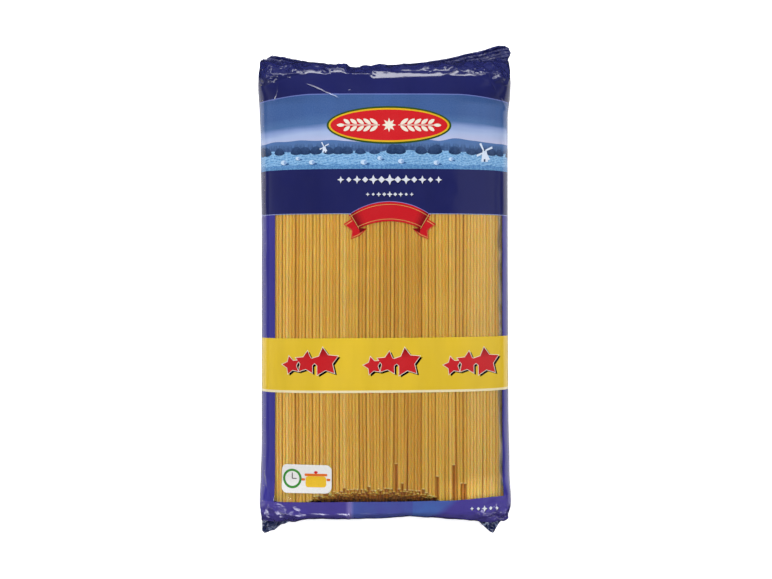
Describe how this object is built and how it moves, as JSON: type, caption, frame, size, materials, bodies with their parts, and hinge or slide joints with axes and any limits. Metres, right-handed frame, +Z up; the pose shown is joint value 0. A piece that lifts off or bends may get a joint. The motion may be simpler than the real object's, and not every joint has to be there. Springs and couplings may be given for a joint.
{
  "type": "pasta packet",
  "caption": "Block-shaped film bag of long straight pasta, lying on its back, with a clear front window crossed by a printed band and crimped welded ends.",
  "frame": {"origin": "middle of the packet's outline, on the surface that it lies on", "axes": "+Z up out of the printed front, +Y along the packet towards its top end, +X across it to the right as the front is read"},
  "size_m": [0.1536, 0.299, 0.05],
  "materials": {
    "printed_film": "glossy printed film, mostly deep blue, with a yellow band",
    "dry_pasta": "dry golden pasta with a faint sheen",
    "clear_film": "clear glossy film over the window"
  },
  "bodies": {
    "root": {"film_bag": "printed_film", "spaghetti": "dry_pasta"}
  },
  "joints": []
}
